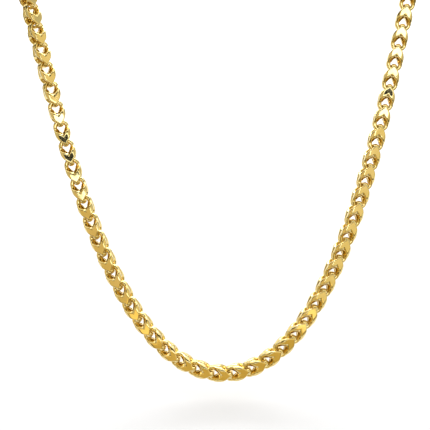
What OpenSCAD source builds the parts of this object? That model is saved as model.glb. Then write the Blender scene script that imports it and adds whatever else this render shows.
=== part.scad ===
// Franco chain, worn round a neck: folded wire links in one loop, closed by a plain clasp at the back.
// The origin is where the clasp rests on the back of the neck. The front of the chain hangs at -Y,
// and +Z is up. All sizes are in millimetres.

/* [Link] */
// Width of the chain across its flat sides, the same from the front and from the side
chain_w = 5; // [4.9:0.05:5.1]
// Distance between the flats that trim the four corners of the chain, from corner to corner
corner_w = 5.4; // [5.2:0.05:5.6]
// Thickness of the wire seen from the front
wire_w = 1.05; // [1:0.05:1.1]
// Thickness of the wire seen from the side
wire_d = 1.08; // [1:0.02:1.08]
// Distance from the inside of the round end to the pointed tip
link_reach = 7.8; // [7.78:0.01:7.9]
// Length of metal between the pointed end of the opening and the tip
tip_len = 3; // [2.8:0.1:3.2]
// Slit between the front leg and the back leg of a link
slit = 0.08; // [0.06:0.02:0.12]
// Room between the fold and the two legs that it goes round
fold_gap = 0.26; // [0.24:0.01:0.28]

/* [Chain] */
// Distance between joints at the bottom, where the links hang slack
slack_pitch = 5.75; // [5.7:0.01:5.8]
// Distance between joints at the top of the hanging curve, where the links are pulled tight
tight_pitch = 6.36; // [6.3:0.01:6.38]
// Number of links on each side of the lowest point
side_links = 49; // [49:1:50]
// Number of slack links on the left and on the right of the lowest point
slack_links = [11, 8]; // [7:1:12]
// Number of links from the lowest point up to the first one that is pulled tight, on the left and right
tight_links = [18, 15]; // [14:1:19]
// Number of links from the lowest point up to the shoulder, from which the rest are spaced evenly
shoulder_links = 22; // [21:1:23]
// Distance along the chain from the lowest point to the nearest joint
joint_shift = 0.8; // [0:0.1:1]

/* [Loop] */
// Height of the hanging curve, from its lowest point to where the chain turns back over the shoulders
drop = 116.1; // [115:0.1:117]
// Half the width of the loop at the top of the hanging curve
half_span = 58.9; // [58:0.1:60]
// Lean of the two strands from upright at the top of the hanging curve, in degrees
strand_lean = 13.3; // [12:0.1:15]
// Depth of the loop from the clasp to the hanging curve
neck_depth = 100; // [98:1:102]
// Height of the clasp above the top of the hanging curve
neck_rise = 60; // [58:1:62]

/* [Clasp] */
// Length of the clasp between its two joints
clasp_len = 18; // [16:1:20]

/* [Hidden] */
$fn = 40;

half_w = chain_w / 2;
// The joint lies just inside the round end of a link, where the fold of the link before it pulls
joint_play = 0.15;
// The middle of the round eye, measured from the joint
eye_r = half_w - wire_w;
eye_x = eye_r - joint_play;
tip_x = link_reach - joint_play;
// The sides of a link start to close in a little beyond the eye's middle
shoulder = 1;
// The fold passes through the next eye, with this room round it
eye_gap = 0.2;
// Side view: depths of the legs' faces and of the fold, and where the legs start and stop rising
leg_in = slit / 2;
leg_out = leg_in + wire_d;
fold_in = leg_out + fold_gap;
out_rise = [eye_x + 0.1, eye_x + 2.9];
in_rise = [eye_x + 1.9, eye_x + 3.1];
// The round end is trimmed in depth, and the fold has rounded corners
end_trim = [0.7, 0.37];
fold_r = 1;

// Clasp: its tip reaches as far into the first link as a tight link does, and its barrel lies between
// the flat eye and the slot
clasp_tip = clasp_len + tip_x - tight_pitch;
clasp_body = [eye_x + 2.1, clasp_len - 1.8];

// The front half of the curve and the stretch round the neck, each a cubic curve with four control points
side_pull = [35, 38.8, 60, 60];
strand_dir = [sin(strand_lean), 0, cos(strand_lean)];
top = [half_span, -neck_depth, -neck_rise];
bottom = [0, -neck_depth, -neck_rise - drop];
clasp_end = [clasp_len / 2, 0, 0];
front_curve = [bottom, bottom + [side_pull[0], 0, 0], top - side_pull[1] * strand_dir, top];
neck_curve = [top, top + side_pull[2] * strand_dir, clasp_end + [side_pull[3], 0, 0], clasp_end];

function bezier(c, t) =
    pow(1 - t, 3) * c[0] + 3 * pow(1 - t, 2) * t * c[1] + 3 * (1 - t) * t * t * c[2] + pow(t, 3) * c[3];

steps = 120;
half_loop = concat(
    [for (i = [0:steps]) bezier(front_curve, i / steps)],
    [for (i = [1:steps]) bezier(neck_curve, i / steps)]
);
function step_len(i) = i == 0 ? 0 : norm(half_loop[i] - half_loop[i - 1]);
run = [for (i = 0, s = 0; i < len(half_loop); i = i + 1, s = s + (i < len(half_loop) ? step_len(i) : 0)) s];
front_len = run[steps];
half_len = run[len(run) - 1];
along_x = [for (i = [0:len(run) - 1]) [run[i], half_loop[i].x]];
along_y = [for (i = [0:len(run) - 1]) [run[i], half_loop[i].y]];
along_z = [for (i = [0:len(run) - 1]) [run[i], half_loop[i].z]];

// A point of the loop at a distance from its lowest point, negative on the left
function loop_at(s) = [sign(s) * lookup(abs(s), along_x), lookup(abs(s), along_y), lookup(abs(s), along_z)];

// Joints: close together at the bottom, further apart up the strands, and evenly spaced round the neck
function stretched(n, slack, tight) =
    let (ramp = tight - slack)
    n < slack ? 0
    : n < tight ? pow(n - slack, 2) / (2 * ramp)
    : n - tight + ramp / 2;
function strand_s(n, side) =
    slack_pitch * n + (tight_pitch - slack_pitch) * stretched(n, slack_links[side], tight_links[side]);
function neck_s(n, side, side_len) =
    let (start = strand_s(shoulder_links, side))
    start + (side_len - start) * (n - shoulder_links) / (side_links - shoulder_links);
function joint_s(k) =
    let (n = abs(k), side = k < 0 ? 0 : 1, side_len = half_len - sign(k) * joint_shift)
    joint_shift + sign(k) * (n <= shoulder_links ? strand_s(n, side) : neck_s(n, side, side_len));

// Twist of the chain about its length: distance from the lowest point, degrees inwards from facing out
twists = [
    [-half_len, 0],
    [-190, 38],
    [-138, 41],
    [-92, 2],
    [-82, 0],
    [-66, -9],
    [-50, -14],
    [60, -15],
    [85, -12],
    [100, -5],
    [114, 0],
    [half_len, 0]
];

// The face of a link looks away from the neck in front, and up at the back
function smooth(f) = f * f * (3 - 2 * f);
function face_guide(s) =
    let (tilt = 90 * smooth(max(0, (abs(s) - front_len) / (half_len - front_len))))
    [0, -cos(tilt), sin(tilt)];
function unit(v) = v / norm(v);

// Puts a shape drawn along X, with its face at +Z, between two points of the loop
module along_chord(from, to, facing, twist) {
    dir = unit(to - from);
    plain_face = unit(facing - dir * (facing * dir));
    plain_side = cross(plain_face, dir);
    face = plain_face * cos(twist) + plain_side * sin(twist);
    side = cross(face, dir);
    multmatrix([
        [dir.x, side.x, face.x, from.x],
        [dir.y, side.y, face.y, from.y],
        [dir.z, side.z, face.z, from.z]
    ]) children();
}

// Pointed arch with its base across x = 0
module arch(base, reach) {
    r = (reach * reach + base * base) / (2 * base);
    intersection() {
        translate([0, base - r]) circle(r);
        translate([0, r - base]) circle(r);
        translate([0, -base]) square([reach + 1, 2 * base]);
    }
}

// Outline of a link from the front: a round end, a straight shoulder and a pointed tip
module link_outline() {
    translate([eye_x, 0]) circle(half_w);
    translate([eye_x, -half_w]) square([shoulder, chain_w]);
    translate([eye_x + shoulder, 0]) arch(half_w, tip_x - eye_x - shoulder);
}

// The opening of a link, with its pointed end towards the tip
module link_opening() {
    translate([eye_x, 0]) circle(eye_r);
    translate([eye_x, 0]) arch(eye_r, tip_x - eye_x - tip_len);
}

// Side view of the front leg: low at the round end, rising to the flat face at the tip
module leg_side() {
    far = tip_x + 1;
    end = eye_x - half_w;
    polygon([
        [end - 1, leg_in],
        [in_rise[0], leg_in],
        [in_rise[1], fold_in],
        [far, fold_in],
        [far, half_w],
        [out_rise[1], half_w],
        [out_rise[0], leg_out],
        [end + end_trim[0], leg_out],
        [end, leg_out - end_trim[1]],
        [end - 1, leg_out - end_trim[1]]
    ]);
}

// Side view of the whole fold with its rounded corners
module fold_side() {
    translate([-half_w, -half_w]) square([tip_x + half_w - fold_r, chain_w]);
    translate([-half_w, -half_w + fold_r]) square([tip_x + half_w, chain_w - 2 * fold_r]);
    for (d = [-1, 1]) translate([tip_x - fold_r, d * (half_w - fold_r)]) circle(fold_r);
}

// Extrudes a side view across the chain
module across() {
    rotate([90, 0, 0]) translate([0, 0, -chain_w]) linear_extrude(2 * chain_w) children();
}

// Cross-section of the chain, a square with trimmed corners, drawn out along X
module chain_section(from, to) {
    rotate([90, 0, 90]) translate([0, 0, from]) linear_extrude(to - from) intersection() {
        square(chain_w, center = true);
        rotate(45) square(corner_w, center = true);
    }
}

// The part of the tip that goes through the next link's eye
module fold_bridge() {
    translate([0, 0, -fold_in - 0.2]) linear_extrude(2 * fold_in + 0.4) intersection() {
        link_outline();
        translate([tip_x, 0]) circle(eye_r - eye_gap);
    }
}

// One link, its joint at the origin and its tip towards +X
module chain_link() {
    intersection() {
        union() {
            intersection() {
                translate([0, 0, -half_w]) linear_extrude(chain_w) difference() {
                    link_outline();
                    link_opening();
                }
                across() {
                    leg_side();
                    mirror([0, 1]) leg_side();
                }
            }
            fold_bridge();
        }
        across() fold_side();
        chain_section(-half_w, tip_x + 1);
    }
}

// The links between two joints, counted from the lowest one
module links(first, last) {
    for (k = [first:last]) {
        s = [joint_s(k), joint_s(k + 1)];
        mid = (s[0] + s[1]) / 2;
        along_chord(loop_at(s[0]), loop_at(s[1]), face_guide(mid), lookup(mid, twists)) chain_link();
    }
}

module chain_left() {
    color("gold") links(-side_links, -1);
}

module chain_right() {
    color("goldenrod") links(0, side_links - 1);
}

// Outline of the clasp from the front, without its eye
module clasp_outline() {
    translate([clasp_body[0], -half_w]) square([clasp_tip - tip_x + eye_x + shoulder - clasp_body[0], chain_w]);
    translate([clasp_tip - tip_x, 0]) link_outline();
}

// Barrel of the clasp, with a slot in its end for the first link's two legs
module clasp_barrel() {
    difference() {
        translate([0, 0, -half_w]) linear_extrude(chain_w) intersection() {
            clasp_outline();
            translate([clasp_body[0], -half_w]) square([clasp_tip, chain_w]);
        }
        translate([clasp_body[1], -half_w - 1, -fold_in]) cube([clasp_tip, chain_w + 2, 2 * fold_in]);
    }
}

// Plate with the eye that the last link's fold goes through
module clasp_eye() {
    translate([0, 0, -leg_out]) linear_extrude(2 * leg_out) difference() {
        union() {
            translate([eye_x, 0]) circle(half_w);
            translate([eye_x, -half_w]) square([clasp_body[0] - eye_x + 0.5, chain_w]);
        }
        translate([eye_x, 0]) circle(eye_r);
    }
}

// Plain clasp between the last link and the first one
module clasp() {
    color("darkgoldenrod") along_chord(clasp_end, -clasp_end, [0, 0, 1], 0) intersection() {
        union() {
            clasp_eye();
            clasp_barrel();
            translate([clasp_tip - tip_x, 0, 0]) fold_bridge();
        }
        union() {
            chain_section(-half_w, clasp_body[1]);
            translate([clasp_tip - tip_x, 0, 0]) across() fold_side();
        }
        chain_section(-half_w, clasp_tip + 1);
    }
}

chain_left();
chain_right();
clasp();
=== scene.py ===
"""A gold franco chain in one loop round an empty neck, in plain soft studio light.

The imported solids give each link's place, and detailed links take the places of the plain ones. They
are made of round wire that is cut flat on four sides and on the corners between them. One link is
shaped in millimetres, in its own frame, and everything else is in metres.
"""

import math

import bmesh
import bpy
import numpy as np
from mathutils import Matrix, Vector


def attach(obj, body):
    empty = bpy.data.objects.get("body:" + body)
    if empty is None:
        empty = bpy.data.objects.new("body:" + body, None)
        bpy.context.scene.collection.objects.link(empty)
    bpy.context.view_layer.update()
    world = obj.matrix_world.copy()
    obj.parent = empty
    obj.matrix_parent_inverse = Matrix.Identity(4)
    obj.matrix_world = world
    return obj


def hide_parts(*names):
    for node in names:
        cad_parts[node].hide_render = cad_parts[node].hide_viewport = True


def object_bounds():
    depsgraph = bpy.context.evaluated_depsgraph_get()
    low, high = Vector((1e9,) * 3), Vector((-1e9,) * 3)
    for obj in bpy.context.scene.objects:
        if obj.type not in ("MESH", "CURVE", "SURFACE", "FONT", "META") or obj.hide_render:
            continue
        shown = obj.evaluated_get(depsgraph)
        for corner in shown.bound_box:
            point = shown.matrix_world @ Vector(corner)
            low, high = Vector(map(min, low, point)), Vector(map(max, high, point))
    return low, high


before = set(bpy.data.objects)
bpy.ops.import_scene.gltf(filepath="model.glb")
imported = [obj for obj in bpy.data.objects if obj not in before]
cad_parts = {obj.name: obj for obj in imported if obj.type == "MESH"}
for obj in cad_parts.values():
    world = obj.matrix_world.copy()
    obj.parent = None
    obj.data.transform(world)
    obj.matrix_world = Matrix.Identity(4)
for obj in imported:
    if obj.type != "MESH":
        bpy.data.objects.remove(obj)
cad_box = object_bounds()

MM = 0.001

# A link's own frame has X from the round end to the tip, Y across and Z out of the face. First come its
# widths across the flat sides and across the cut corners, then the wire's width, the tip's place and the
# middle of the round eye.
CHAIN_W = 5.0
CORNER_W = 5.9
WIRE = 1.28
LINK_REACH = 7.65
EYE_X = 1.3
HALF_W = CHAIN_W / 2
EYE_R = HALF_W - WIRE
# The opening at the face: its pointed end, its half-width, how far beyond the eye's middle it has that
# half-width, and the power of its curve
FACE_END = 4.6
FACE_HALF = 2.0
FACE_EASE = 0.6
FACE_CURVE = 1.3
# The same for the smaller opening deep inside
DEEP_END = 3.0
DEEP_HALF = 1.0
DEEP_EASE = 0.5
DEEP_CURVE = 1.6
# The openings close in from just beyond the eye's middle
CLOSE_START = 0.01
# The outer edge: the end of its straight side, its pointed end, and the two powers of its curve
SHOULDER_END = 3.0
FLAT_END = 6.95
OUTER_CURVE = 2.0
OUTER_ROOT = 1.1
# Height of the wire's outer side at the round end, and the stretch over which it rises to the face
LEG_OUT = 1.12
OUT_RISE_START = 0.9
OUT_RISE_RUN = 2.9
# Height of the wire's inner side at the round end and at the tip, and the stretch over which it rises
LEG_IN = 0.04
TIP_IN = 1.38
IN_RISE_START = 3.3
IN_RISE_RUN = 1.15
# The power of the wire's rounded section at the round end, what is added to it on a leg's inner and outer
# side, and how soon along the leg
ROUND_POWER = 2.1
INNER_SQUARE = 2.9
OUTER_SQUARE = 0.7
SQUARE_PACE = 2.5
# Where the opening's wall starts to slope out, from -1 at the section's foot to 1 at the face
WALL_START = -0.2
# How far the wire would stand out of the face that it is cut to, how crisp the cut's rims are, and a
# bound that keeps their powers small
CROWN = 0.38
RIM = 12
MOST_OVER = 5
# The fold that joins the two tips: half its thickness, its half-width between the rings and inside the
# tips, how far its sides lie back and with what power, its roundness, the radius of its bends, the start
# of its arms, and their height
FOLD_THICK = 0.54
FOLD_HALF = 1.0
FOLD_NARROW = 0.72
FOLD_BACK = 0.2
FOLD_SWEEP = 1.5
FOLD_ROUND = 1.9
FOLD_TURN = 0.55
FOLD_START = 5.5
FOLD_Z = 1.86
# Where the fold's bends start, and the lengths of an arm, of a bend and of half the fold
BEND_X = LINK_REACH - FOLD_THICK - FOLD_TURN
BEND_Z = FOLD_Z - FOLD_TURN
ARM_RUN = BEND_X - FOLD_START
BEND_RUN = FOLD_TURN * math.pi / 2
HALF_RUN = ARM_RUN + BEND_RUN + BEND_Z

# Detail: stations along half a round end, a leg and the fold, points round the wire and the fold, and how
# many finer steps lie between two stations for the normals' sake
ROUND_STEPS = 7
LEG_STEPS = 13
FOLD_STEPS = 12
AROUND = 20
FOLD_AROUND = 14
FINE = 6
# Points on a curve before it is cut into even steps, and how they crowd towards its end
CURVE_POINTS = 200
CROWDING = 1.5


def smooth(f):
    """Eases a share from 0 to 1."""
    f = np.clip(f, 0.0, 1.0)
    return f * f * (3 - 2 * f)


def even_points(line, count):
    """Points in even steps along a line of points."""
    run = np.concatenate([[0.0], np.cumsum(np.linalg.norm(np.diff(line, axis=0), axis=1))])
    share = np.linspace(0.0, run[-1], count)
    return np.stack([np.interp(share, run, line[:, k]) for k in (0, 1)], axis=1)


def leg_line(start, end, half, power, root=1):
    """A leg's edge seen from the front: straight from the eye's side to start, then in to the axis."""
    share = 1 - np.linspace(1.0, 0.0, CURVE_POINTS) ** CROWDING
    bend = np.stack([start + (end - start) * share, half * (1 - share ** power) ** root], axis=1)
    return even_points(np.vstack([[EYE_X, half], bend]), LEG_STEPS * FINE + 1)


def ring_edges():
    """Edges of half a ring seen from the front: the opening's at the face, its deep one, the outer one."""
    turn = np.linspace(math.pi, math.pi / 2, ROUND_STEPS * FINE + 1)[:-1]
    spoke = np.stack([np.cos(turn), np.sin(turn)], axis=1)
    eye = np.array([EYE_X, 0.0])
    face = leg_line(EYE_X + CLOSE_START, FACE_END, FACE_HALF, FACE_CURVE)
    face[:, 1] -= (FACE_HALF - EYE_R) * (1 - smooth((face[:, 0] - EYE_X) / FACE_EASE))
    deep = leg_line(EYE_X + CLOSE_START, DEEP_END, EYE_R, DEEP_CURVE)
    deep[:, 1] *= 1 - (1 - DEEP_HALF / EYE_R) * smooth((deep[:, 0] - EYE_X) / DEEP_EASE)
    outer = leg_line(SHOULDER_END, FLAT_END, HALF_W, OUTER_CURVE, OUTER_ROOT)
    inner_end = eye + EYE_R * spoke
    outer_end = eye + HALF_W * spoke
    return np.vstack([inner_end, face]), np.vstack([inner_end, deep]), np.vstack([outer_end, outer])


def outer_height(x):
    """Height of a leg's outer side, low under the link before and high at the tip."""
    return LEG_OUT + (HALF_W + CROWN - LEG_OUT) * smooth((x - OUT_RISE_START) / OUT_RISE_RUN)


def inner_height(x):
    """Height of a leg's inner side, which leaves room for the next link's round end under the tip."""
    return LEG_IN + (TIP_IN - LEG_IN) * smooth((x - IN_RISE_START) / IN_RISE_RUN)


def rounded_square(count, inner, outer):
    """Points of a rounded square of half-width 1. A power nearer to 2 makes that side rounder."""
    angle = np.arange(count) * 2 * math.pi / count
    c = np.cos(angle)
    s = np.sin(angle)
    power = np.where(c < 0, inner, outer)
    return np.sign(c) * np.abs(c) ** (2 / power), np.sign(s) * np.abs(s) ** (2 / power)


# The planes that trim one side of a link, each by its normal and its distance from the axis
SLOPE = 1 / math.sqrt(2)
TRIMS = [((0, 0, 1), HALF_W), ((0, SLOPE, SLOPE), CORNER_W / 2), ((0, 1, 0), HALF_W)]


def trimmed(points, centre):
    """Draws points in towards a centre where they are beyond a trimming plane, with soft rims."""
    ray = points - centre
    over = np.ones(len(points))
    for normal, distance in TRIMS:
        room = distance - centre @ np.array(normal)
        over += np.clip(ray @ np.array(normal) / room, 0, MOST_OVER) ** RIM
    return centre + ray * (over ** (-1 / RIM))[:, None]


def ring_grid():
    """Points of the front ring, in fine steps along it and round it."""
    face, deep, outer = ring_edges()
    rows = []
    for i in range(len(face)):
        along_leg = (i / FINE - ROUND_STEPS) / LEG_STEPS
        crisp = smooth(along_leg * SQUARE_PACE)
        across, out = rounded_square(
            AROUND * FINE, ROUND_POWER + INNER_SQUARE * crisp, ROUND_POWER + OUTER_SQUARE * crisp)
        wall = np.clip((out - WALL_START) / (1 - WALL_START), 0, 1)[:, None]
        inner = deep[i] + (face[i] - deep[i]) * wall
        plan = inner + (outer[i] - inner) * ((across + 1) / 2)[:, None]
        low = inner_height(plan[:, 0])
        high = outer_height(plan[:, 0])
        points = np.column_stack([plan, low + (high - low) * (out + 1) / 2])
        middle = ((face[i] + deep[i]) / 2 + outer[i]) / 2
        level = (inner_height(middle[0]) + min(HALF_W, outer_height(middle[0]))) / 2
        rows.append(trimmed(points, np.array([*middle, level])))
    half = np.array(rows)
    return np.concatenate([half, half[-2:0:-1] * np.array([1, -1, 1])])


def fold_path(run):
    """Place and lean of the fold's middle line, at a distance along it from inside the front tip."""
    turn = min(max((run - ARM_RUN) / FOLD_TURN, 0.0), math.pi / 2)
    x = min(FOLD_START + run, BEND_X) + FOLD_TURN * math.sin(turn)
    z = BEND_Z + FOLD_TURN * math.cos(turn) - max(run - ARM_RUN - BEND_RUN, 0.0)
    return x, z, turn


def fold_grid():
    """Points of the fold, from inside the front tip round to inside the back tip."""
    across, out = rounded_square(FOLD_AROUND * FINE, FOLD_ROUND, FOLD_ROUND)
    back = FOLD_BACK * np.abs(across) ** FOLD_SWEEP
    rows = []
    for run in np.linspace(-HALF_RUN, HALF_RUN, FOLD_STEPS * FINE + 1):
        x, z, turn = fold_path(HALF_RUN - abs(run))
        side = -1 if run > 0 else 1
        half = FOLD_NARROW + (FOLD_HALF - FOLD_NARROW) * math.sin(turn)
        rows.append(np.column_stack([
            x + math.sin(turn) * FOLD_THICK * out - back,
            half * across,
            side * (z + math.cos(turn) * FOLD_THICK * out)]))
    return np.array(rows)


def skin(grid, outward, closed):
    """Points, normals and faces of a skin over a fine grid, thinned to its stations.

    Outward is 1 or -1, so that the normals and the order of each face's corners point out of the wire.
    """
    if closed:
        along = np.roll(grid, -1, 0) - np.roll(grid, 1, 0)
    else:
        along = np.gradient(grid, axis=0)
    around = np.roll(grid, -1, 1) - np.roll(grid, 1, 1)
    normals = outward * np.cross(along, around)[::FINE, ::FINE]
    normals = normals / np.linalg.norm(normals, axis=2, keepdims=True)
    points = grid[::FINE, ::FINE]
    rows, count = points.shape[:2]
    faces = []
    for i in range(rows if closed else rows - 1):
        for j in range(count):
            here = [i * count + j, i * count + (j + 1) % count]
            there = [(i + 1) % rows * count + j, (i + 1) % rows * count + (j + 1) % count]
            face = [here[0], there[0], there[1], here[1]]
            faces.append(face[::outward])
    return points.reshape(-1, 3), normals.reshape(-1, 3), faces


def link_skin():
    """Points, normals and faces of one link: two rings of wire and the fold between their tips."""
    ring = ring_grid()
    back_ring = ring * np.array([1, 1, -1])
    parts = [
        skin(ring, outward=-1, closed=True),
        skin(back_ring, outward=1, closed=True),
        skin(fold_grid(), outward=-1, closed=False)]
    points = np.vstack([part[0] for part in parts])
    normals = np.vstack([part[1] for part in parts])
    faces = []
    start = 0
    for part_points, _, part_faces in parts:
        faces += [[start + i for i in face] for face in part_faces]
        start += len(part_points)
    return points, normals, faces


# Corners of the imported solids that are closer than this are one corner
WELD = 0.001 * MM


def solids_of(node):
    """Each loose solid of a node, as an array of triangles' corners."""
    bm = bmesh.new()
    bm.from_mesh(node.data)
    bmesh.ops.remove_doubles(bm, verts=bm.verts, dist=WELD)
    bmesh.ops.triangulate(bm, faces=bm.faces)
    solids = []
    seen = set()
    for first in bm.faces:
        if first in seen:
            continue
        seen.add(first)
        group = [first]
        for face in group:
            near = [f for edge in face.edges for f in edge.link_faces if f not in seen]
            group.extend(dict.fromkeys(near))
            seen.update(near)
        solids.append(np.array([[v.co[:] for v in face.verts] for face in group]))
    bm.free()
    return solids


# A link looks the same from its face and from its back, and the side that is turned this way, to the
# front or up, counts as its face
FACE_WAY = np.array([0, -1, 0.8])


def link_place(triangles):
    """The matrix that puts a link's own frame on one solid, found from how its volume is spread."""
    a, b, c = triangles[:, 0], triangles[:, 1], triangles[:, 2]
    shift = triangles.reshape(-1, 3).mean(axis=0)
    a, b, c = a - shift, b - shift, c - shift
    volumes = np.einsum("ij,ij->i", a, np.cross(b, c)) / 6
    volume = volumes.sum()
    total = a + b + c
    centre = (volumes[:, None] * total).sum(axis=0) / (4 * volume)
    spread = sum(np.einsum("i,ij,ik->jk", volumes, p, p) for p in (a, b, c, total)) / (20 * volume)
    along = np.linalg.eigh(spread - np.outer(centre, centre))[1][:, 2]
    # The tip is the end that lies nearer to the centre of the volume
    run = (triangles.reshape(-1, 3) - shift - centre) @ along
    if run.max() > -run.min():
        along = -along
        run = -run
    # The link is broad at its round end and deep at its tip, which tells the side from the face
    areas = np.linalg.norm(np.cross(b - a, c - a), axis=1)
    middles = total / 3 - centre
    flat = middles - np.outer(middles @ along, along)
    lopsided = np.einsum("i,ij,ik->jk", areas * (middles @ along), flat, flat)
    across = np.linalg.eigh(lopsided)[1][:, 0]
    face = np.cross(along, across)
    if face @ FACE_WAY < 0:
        face, across = -face, -across
    place = np.eye(4)
    place[:3, :3] = np.column_stack([along, across, face]) * MM
    place[:3, 3] = shift + centre + along * (run.max() - LINK_REACH * MM)
    return place


def add_object(name, data):
    """A new object in the scene."""
    obj = bpy.data.objects.new(name, data)
    bpy.context.scene.collection.objects.link(obj)
    return obj


def add_mesh(name, verts, faces):
    """A new mesh object in the scene, from its points and faces."""
    mesh = bpy.data.meshes.new(name)
    mesh.from_pydata(verts, [], faces)
    return add_object(name, mesh)


LINK_POINTS, LINK_NORMALS, LINK_FACES = link_skin()


def chain_piece(node_name):
    """All the links of one node, as one object in the places of the node's solids."""
    places = [link_place(t) for t in solids_of(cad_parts[node_name])]
    count = len(LINK_POINTS)
    verts = np.vstack([LINK_POINTS @ p[:3, :3].T + p[:3, 3] for p in places])
    normals = np.vstack([LINK_NORMALS @ p[:3, :3].T / MM for p in places])
    faces = [[i + k * count for i in face] for k in range(len(places)) for face in LINK_FACES]
    obj = add_mesh(node_name + "_links", verts.tolist(), faces)
    obj.data.shade_smooth()
    obj.data.normals_split_custom_set_from_vertices(normals.tolist())
    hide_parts(node_name)
    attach(obj, "root")
    return obj


def node_tree(material):
    """The cleared node tree of a material."""
    material.use_nodes = True
    tree = material.node_tree
    tree.nodes.clear()
    return tree


def gold_material():
    """Polished gold: its tone varies a little from link to link, and faint marks break up its gloss."""
    material = bpy.data.materials.new("polished_gold")
    tree = node_tree(material)
    new = tree.nodes.new
    out = new("ShaderNodeOutputMaterial")
    shader = new("ShaderNodeBsdfPrincipled")
    shader.inputs["Metallic"].default_value = 1.0
    coords = new("ShaderNodeTexCoord")
    tone = new("ShaderNodeTexNoise")
    tone.inputs["Scale"].default_value = 180.0
    tone.inputs["Detail"].default_value = 2.0
    ramp = new("ShaderNodeValToRGB")
    ramp.color_ramp.elements[0].position = 0.35
    ramp.color_ramp.elements[0].color = (0.8, 0.63, 0.25, 1)
    ramp.color_ramp.elements[1].position = 0.65
    ramp.color_ramp.elements[1].color = (0.88, 0.71, 0.335, 1)
    fine = new("ShaderNodeTexNoise")
    fine.inputs["Scale"].default_value = 900.0
    fine.inputs["Detail"].default_value = 3.0
    rough = new("ShaderNodeMapRange")
    rough.inputs["To Min"].default_value = 0.03
    rough.inputs["To Max"].default_value = 0.1
    bump = new("ShaderNodeBump")
    bump.inputs["Strength"].default_value = 0.12
    bump.inputs["Distance"].default_value = 0.02 * MM
    link = tree.links.new
    link(coords.outputs["Object"], tone.inputs["Vector"])
    link(coords.outputs["Object"], fine.inputs["Vector"])
    link(tone.outputs["Fac"], ramp.inputs["Fac"])
    link(ramp.outputs["Color"], shader.inputs["Base Color"])
    link(fine.outputs["Fac"], rough.inputs["Value"])
    link(rough.outputs["Result"], shader.inputs["Roughness"])
    link(fine.outputs["Fac"], bump.inputs["Height"])
    link(bump.outputs["Normal"], shader.inputs["Normal"])
    link(shader.outputs["BSDF"], out.inputs["Surface"])
    return material


gold = gold_material()
for chain_node in ("chain_left", "chain_right"):
    piece = chain_piece(chain_node)
    piece.data.materials.append(gold)

# The clasp's rounded edges, and the distance under which two of its points are one, in millimetres. Faces
# that meet under the first angle are one face, and an edge over the second angle is rounded.
CLASP_EDGE = 0.12
EDGE_STEPS = 2
CLASP_WELD = 0.002
FLAT_ANGLE = math.radians(1)
SHARP_ANGLE = math.radians(25)


def bake_modifiers(obj):
    """Turns an object's modifiers into mesh."""
    bpy.context.view_layer.update()
    evaluated = obj.evaluated_get(bpy.context.evaluated_depsgraph_get())
    mesh = bpy.data.meshes.new_from_object(evaluated)
    obj.modifiers.clear()
    obj.data = mesh


def clasp_piece():
    """The clasp with its edges rounded."""
    bm = bmesh.new()
    bm.from_mesh(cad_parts["clasp"].data)
    # The bevel works in millimetres, where its own tolerances are small enough
    bmesh.ops.scale(bm, vec=(1 / MM, 1 / MM, 1 / MM), verts=bm.verts)
    bmesh.ops.remove_doubles(bm, verts=bm.verts, dist=CLASP_WELD)
    bmesh.ops.dissolve_limit(bm, angle_limit=FLAT_ANGLE, verts=bm.verts, edges=bm.edges)
    sharp = [e for e in bm.edges if e.is_manifold and e.calc_face_angle() > SHARP_ANGLE]
    bmesh.ops.bevel(
        bm, geom=sharp, offset=CLASP_EDGE, segments=EDGE_STEPS, affect="EDGES", clamp_overlap=True)
    bmesh.ops.scale(bm, vec=(MM, MM, MM), verts=bm.verts)
    mesh = bpy.data.meshes.new("clasp_body")
    bm.to_mesh(mesh)
    bm.free()
    mesh.shade_smooth()
    obj = add_object("clasp_body", mesh)
    weighted = obj.modifiers.new("weighted", "WEIGHTED_NORMAL")
    weighted.weight = 80
    bake_modifiers(obj)
    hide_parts("clasp")
    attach(obj, "root")
    return obj


clasp = clasp_piece()
clasp.data.materials.clear()
clasp.data.materials.append(gold)

# The camera is square to the plane of the hanging curve and half a metre from it, and rolled by almost
# a degree. The frame's width is measured in that plane.
FRAME_W = 133.5 * MM
VIEW_DISTANCE = 0.5
CURVE_Y = -0.1
LOOK_X = -2.25 * MM
LOOK_Z = -126.8 * MM
ROLL = math.radians(-0.88)


def add_camera():
    """The camera at the photograph's viewing angle."""
    data = bpy.data.cameras.new("camera")
    data.sensor_fit = "HORIZONTAL"
    data.sensor_width = 36.0
    data.lens = data.sensor_width * VIEW_DISTANCE / FRAME_W
    data.clip_start = 0.01
    obj = add_object("camera", data)
    obj.location = (LOOK_X, CURVE_Y - VIEW_DISTANCE, LOOK_Z)
    upright = Matrix.Rotation(math.radians(90), 3, "X")
    obj.rotation_euler = (upright @ Matrix.Rotation(ROLL, 3, "Z")).to_euler()
    bpy.context.scene.camera = obj


add_camera()

# The floor's distance under the chain, its front edge and its slope up towards the back, the radius and the
# steps of its curve up into an upright backdrop, and the backdrop's place, top and half-width
FLOOR_GAP = 7.6 * MM
FLOOR_FRONT = -0.13
FLOOR_SLOPE = math.radians(47)
COVE = 0.25
COVE_STEPS = 17
BACK_Y = 0.35
BACK_TOP = 0.35
STAGE_HALF = 0.17


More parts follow.
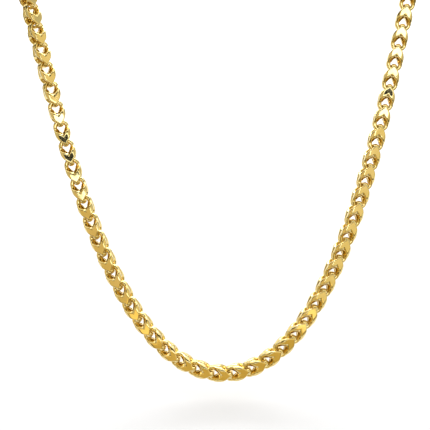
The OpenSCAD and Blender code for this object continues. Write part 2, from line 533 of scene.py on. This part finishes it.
def noisy_material(name, dark, light, scale, roughness, glow=0.0):
    """A plain rough material with a faint mottle, and a painted glow where it is given one, though it is no
    lamp.
    """
    material = bpy.data.materials.new(name)
    tree = node_tree(material)
    out = tree.nodes.new("ShaderNodeOutputMaterial")
    shader = tree.nodes.new("ShaderNodeBsdfPrincipled")
    noise = tree.nodes.new("ShaderNodeTexNoise")
    noise.inputs["Scale"].default_value = scale
    ramp = tree.nodes.new("ShaderNodeValToRGB")
    ramp.color_ramp.elements[0].color = (*dark, 1)
    ramp.color_ramp.elements[1].color = (*light, 1)
    shader.inputs["Roughness"].default_value = roughness
    # The emission is painted light: a glow, not a lamp, that lifts the surface and fills in the shade on it
    shader.inputs["Emission Color"].default_value = (0.97, 0.975, 0.99, 1)
    shader.inputs["Emission Strength"].default_value = glow
    tree.links.new(noise.outputs["Fac"], ramp.inputs["Fac"])
    tree.links.new(ramp.outputs["Color"], shader.inputs["Base Color"])
    tree.links.new(shader.outputs["BSDF"], out.inputs["Surface"])
    return material


def add_stage(floor_z):
    """A floor that slopes and curves up into a backdrop. A painted glow lifts it to white and keeps its
    shadow faint.
    """
    rise = math.tan(FLOOR_SLOPE)
    cove_y = BACK_Y - COVE
    floor_end_z = floor_z + (cove_y + COVE * math.sin(FLOOR_SLOPE) - CURVE_Y) * rise
    cove_z = floor_end_z + COVE * math.cos(FLOOR_SLOPE)
    angles = np.linspace(FLOOR_SLOPE, math.pi / 2, COVE_STEPS)
    profile = [(FLOOR_FRONT, floor_z + (FLOOR_FRONT - CURVE_Y) * rise)]
    profile += [(cove_y + COVE * math.sin(a), cove_z - COVE * math.cos(a)) for a in angles]
    profile.append((BACK_Y, BACK_TOP))
    verts = [(x, y, z) for y, z in profile for x in (-STAGE_HALF, STAGE_HALF)]
    faces = [(2 * i, 2 * i + 1, 2 * i + 3, 2 * i + 2) for i in range(len(profile) - 1)]
    obj = add_mesh("backdrop", verts, faces)
    obj.data.shade_smooth()
    # The paper is mid grey. A painted glow makes it look pale and fills in the chain's shadow on it
    paper = noisy_material(
        "glowing_paper", (0.4, 0.41, 0.44), (0.42, 0.43, 0.46), scale=30.0, roughness=0.8, glow=0.55)
    obj.data.materials.append(paper)


def add_card(name, centre, width, height):
    """A dark card in front of the chain, outside the view, which darkens the flat faces of a few links."""
    x, y, z = centre
    corners = ((-0.5, -0.5), (0.5, -0.5), (0.5, 0.5), (-0.5, 0.5))
    verts = [(x + i * width, y, z + j * height) for i, j in corners]
    obj = add_mesh(name, verts, [(0, 1, 2, 3)])
    felt = noisy_material(name, (0.01, 0.01, 0.01), (0.02, 0.02, 0.02), scale=20.0, roughness=0.9)
    obj.data.materials.append(felt)


add_stage(cad_box[0][2] - FLOOR_GAP)
add_card("dark_card_left", (-0.13, -0.62, -0.07), 0.36, 0.054)
add_card("dark_card_right", (0.095, -0.35, -0.079), 0.06, 0.015)


def add_area(name, place, target, size, radiance, color=(1, 1, 1)):
    """A rectangular soft light aimed at a point, by how bright its face is."""
    data = bpy.data.lights.new(name, "AREA")
    data.shape = "RECTANGLE"
    data.size, data.size_y = size
    data.energy = radiance * math.pi * size[0] * size[1]
    data.color = color
    obj = add_object(name, data)
    obj.location = place
    aim = Vector(target) - Vector(place)
    obj.rotation_euler = aim.to_track_quat("-Z", "Y").to_euler()


# The lights stand edge to edge round the front and sides, so that nearly every flat face reflects one. The
# last one lights the backdrop.
CENTRE = (0, CURVE_Y, -0.12)
add_area("front", (0.07, -0.95, -0.07), (0.0, CURVE_Y, -0.1), (0.54, 0.3), 2.8, (0.8, 0.88, 1.0))
add_area("right", (0.535, -0.695, -0.1), CENTRE, (0.64, 0.8), 0.87, (1.0, 0.88, 0.6))
add_area("left", (-0.5, -0.726, -0.1), CENTRE, (0.76, 0.8), 0.69, (1.0, 0.79, 0.42))
add_area("far_right", (0.9, -0.1, 0.1), CENTRE, (0.9, 1.25), 0.55, (1.0, 0.99, 0.88))
add_area("far_left", (-0.9, -0.1, -0.1), CENTRE, (0.9, 0.8), 0.55, (1.0, 0.99, 0.88))
add_area("top", (0.0, -0.1, 1.0), CENTRE, (2.7, 2.0), 1.3)
add_area("below", (0.0, -0.76, -0.6), (0, CURVE_Y, -0.176), (0.9, 0.46), 0.6, (1.0, 0.72, 0.22))
add_area("behind", (0.0, 0.0, 0.3), (0, BACK_Y, -0.1), (0.5, 0.2), 10.0)


def add_world():
    """A faint warm surround, which shows in the faces that no light reaches."""
    world = bpy.data.worlds.new("studio")
    world.use_nodes = True
    back = world.node_tree.nodes["Background"]
    back.inputs["Color"].default_value = (1, 0.87, 0.55, 1)
    back.inputs["Strength"].default_value = 0.09
    bpy.context.scene.world = world


add_world()
bpy.context.scene.view_settings.view_transform = "Standard"
